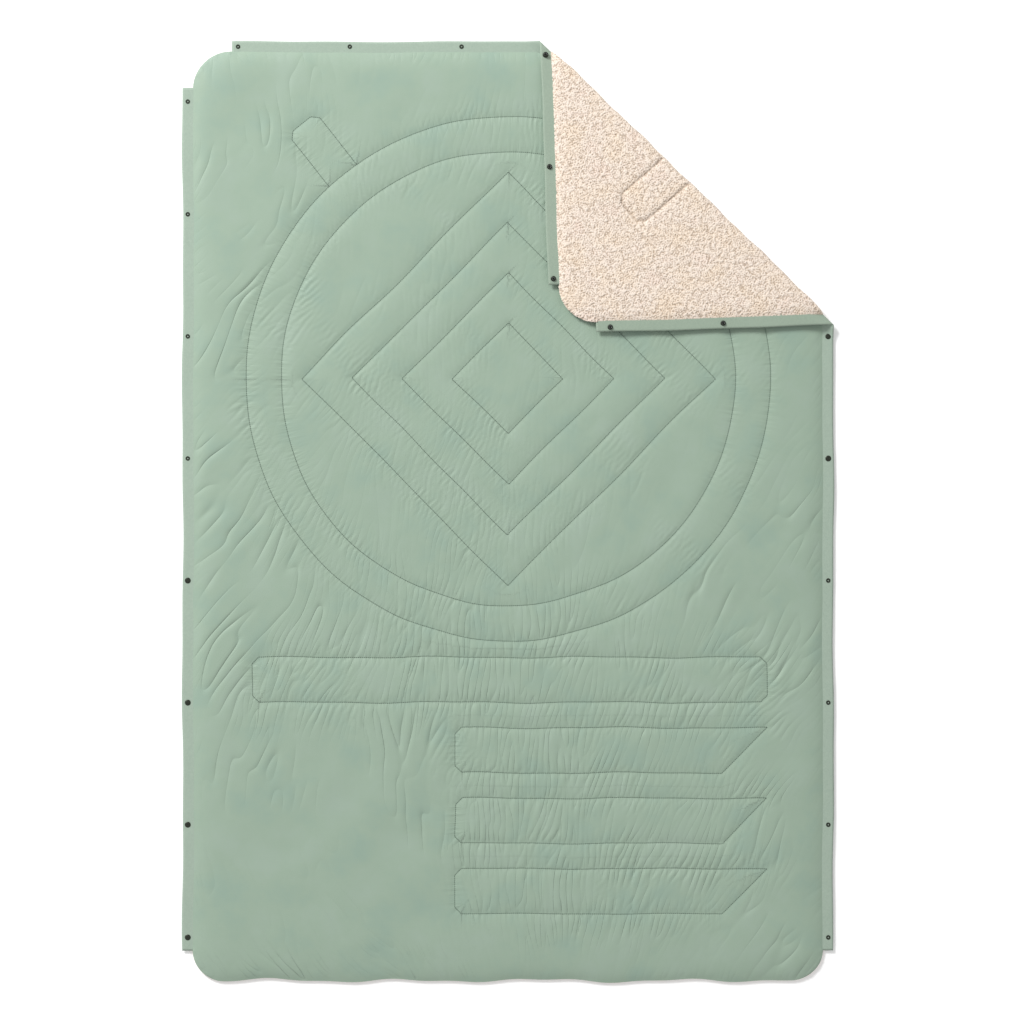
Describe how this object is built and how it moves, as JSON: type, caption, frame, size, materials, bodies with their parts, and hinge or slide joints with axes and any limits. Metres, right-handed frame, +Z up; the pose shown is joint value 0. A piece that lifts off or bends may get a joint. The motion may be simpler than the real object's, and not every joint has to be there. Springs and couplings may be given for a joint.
{
  "type": "camp blanket",
  "caption": "Quilted camp blanket with a woven shell, a sherpa lining, press studs on an edge tape, a lengthwise fold and a turned-over corner.",
  "frame": {"origin": "middle of the blanket's outline, on the surface that it lies on", "axes": "+X to the right and +Y to the top edge as seen from above, +Z up; the shell faces up and the lining faces down"},
  "size_m": [1.386, 2, 0.0285],
  "materials": {
    "ripstop": "sage green ripstop, soft satin",
    "sherpa": "cream curly sherpa pile",
    "batting": "white polyester batting",
    "thread": "dark sage polyester thread",
    "tape": "light sage woven tape",
    "snap_metal": "dark gunmetal",
    "spring_wire": "drawn steel wire"
  },
  "bodies": {
    "right_half": {"right_lining": "sherpa", "right_fill": "batting", "right_shell": "ripstop", "right_needle_thread": "thread", "right_bobbin_thread": "thread", "right_side_tape": "tape", "top_tape_middle": "tape", "right_stud_rings": "snap_metal", "right_studs": "snap_metal", "right_socket_caps": "snap_metal", "right_sockets": "snap_metal", "right_socket_springs": "spring_wire"},
    "left_half": {"left_lining": "sherpa", "left_fill": "batting", "left_shell": "ripstop", "left_needle_thread": "thread", "left_bobbin_thread": "thread", "left_side_tape": "tape", "top_tape_left": "tape", "left_stud_rings": "snap_metal", "left_studs": "snap_metal", "left_socket_caps": "snap_metal", "left_sockets": "snap_metal", "left_socket_springs": "spring_wire", "top_stud_rings": "snap_metal", "top_studs": "snap_metal"},
    "turned_corner": {"corner_lining": "sherpa", "corner_fill": "batting", "corner_shell": "ripstop", "corner_needle_thread": "thread", "corner_bobbin_thread": "thread", "corner_side_tape": "tape", "corner_top_tape": "tape", "corner_socket_caps": "snap_metal", "corner_sockets": "snap_metal", "corner_socket_springs": "spring_wire"}
  },
  "joints": [
    {"name": "half_fold", "type": "hinge", "parent": "right_half", "child": "left_half", "pos_m": [0, 0, 0.02165], "axis": [0, 1, 0], "range_deg": [0, 179.9]},
    {"name": "corner_fold", "type": "hinge", "parent": "right_half", "child": "turned_corner", "pos_m": [0.38075, 0.69771, 0.01425], "axis": [-0.7193, 0.6947, 0], "range_deg": [0, 179.9]}
  ]
}
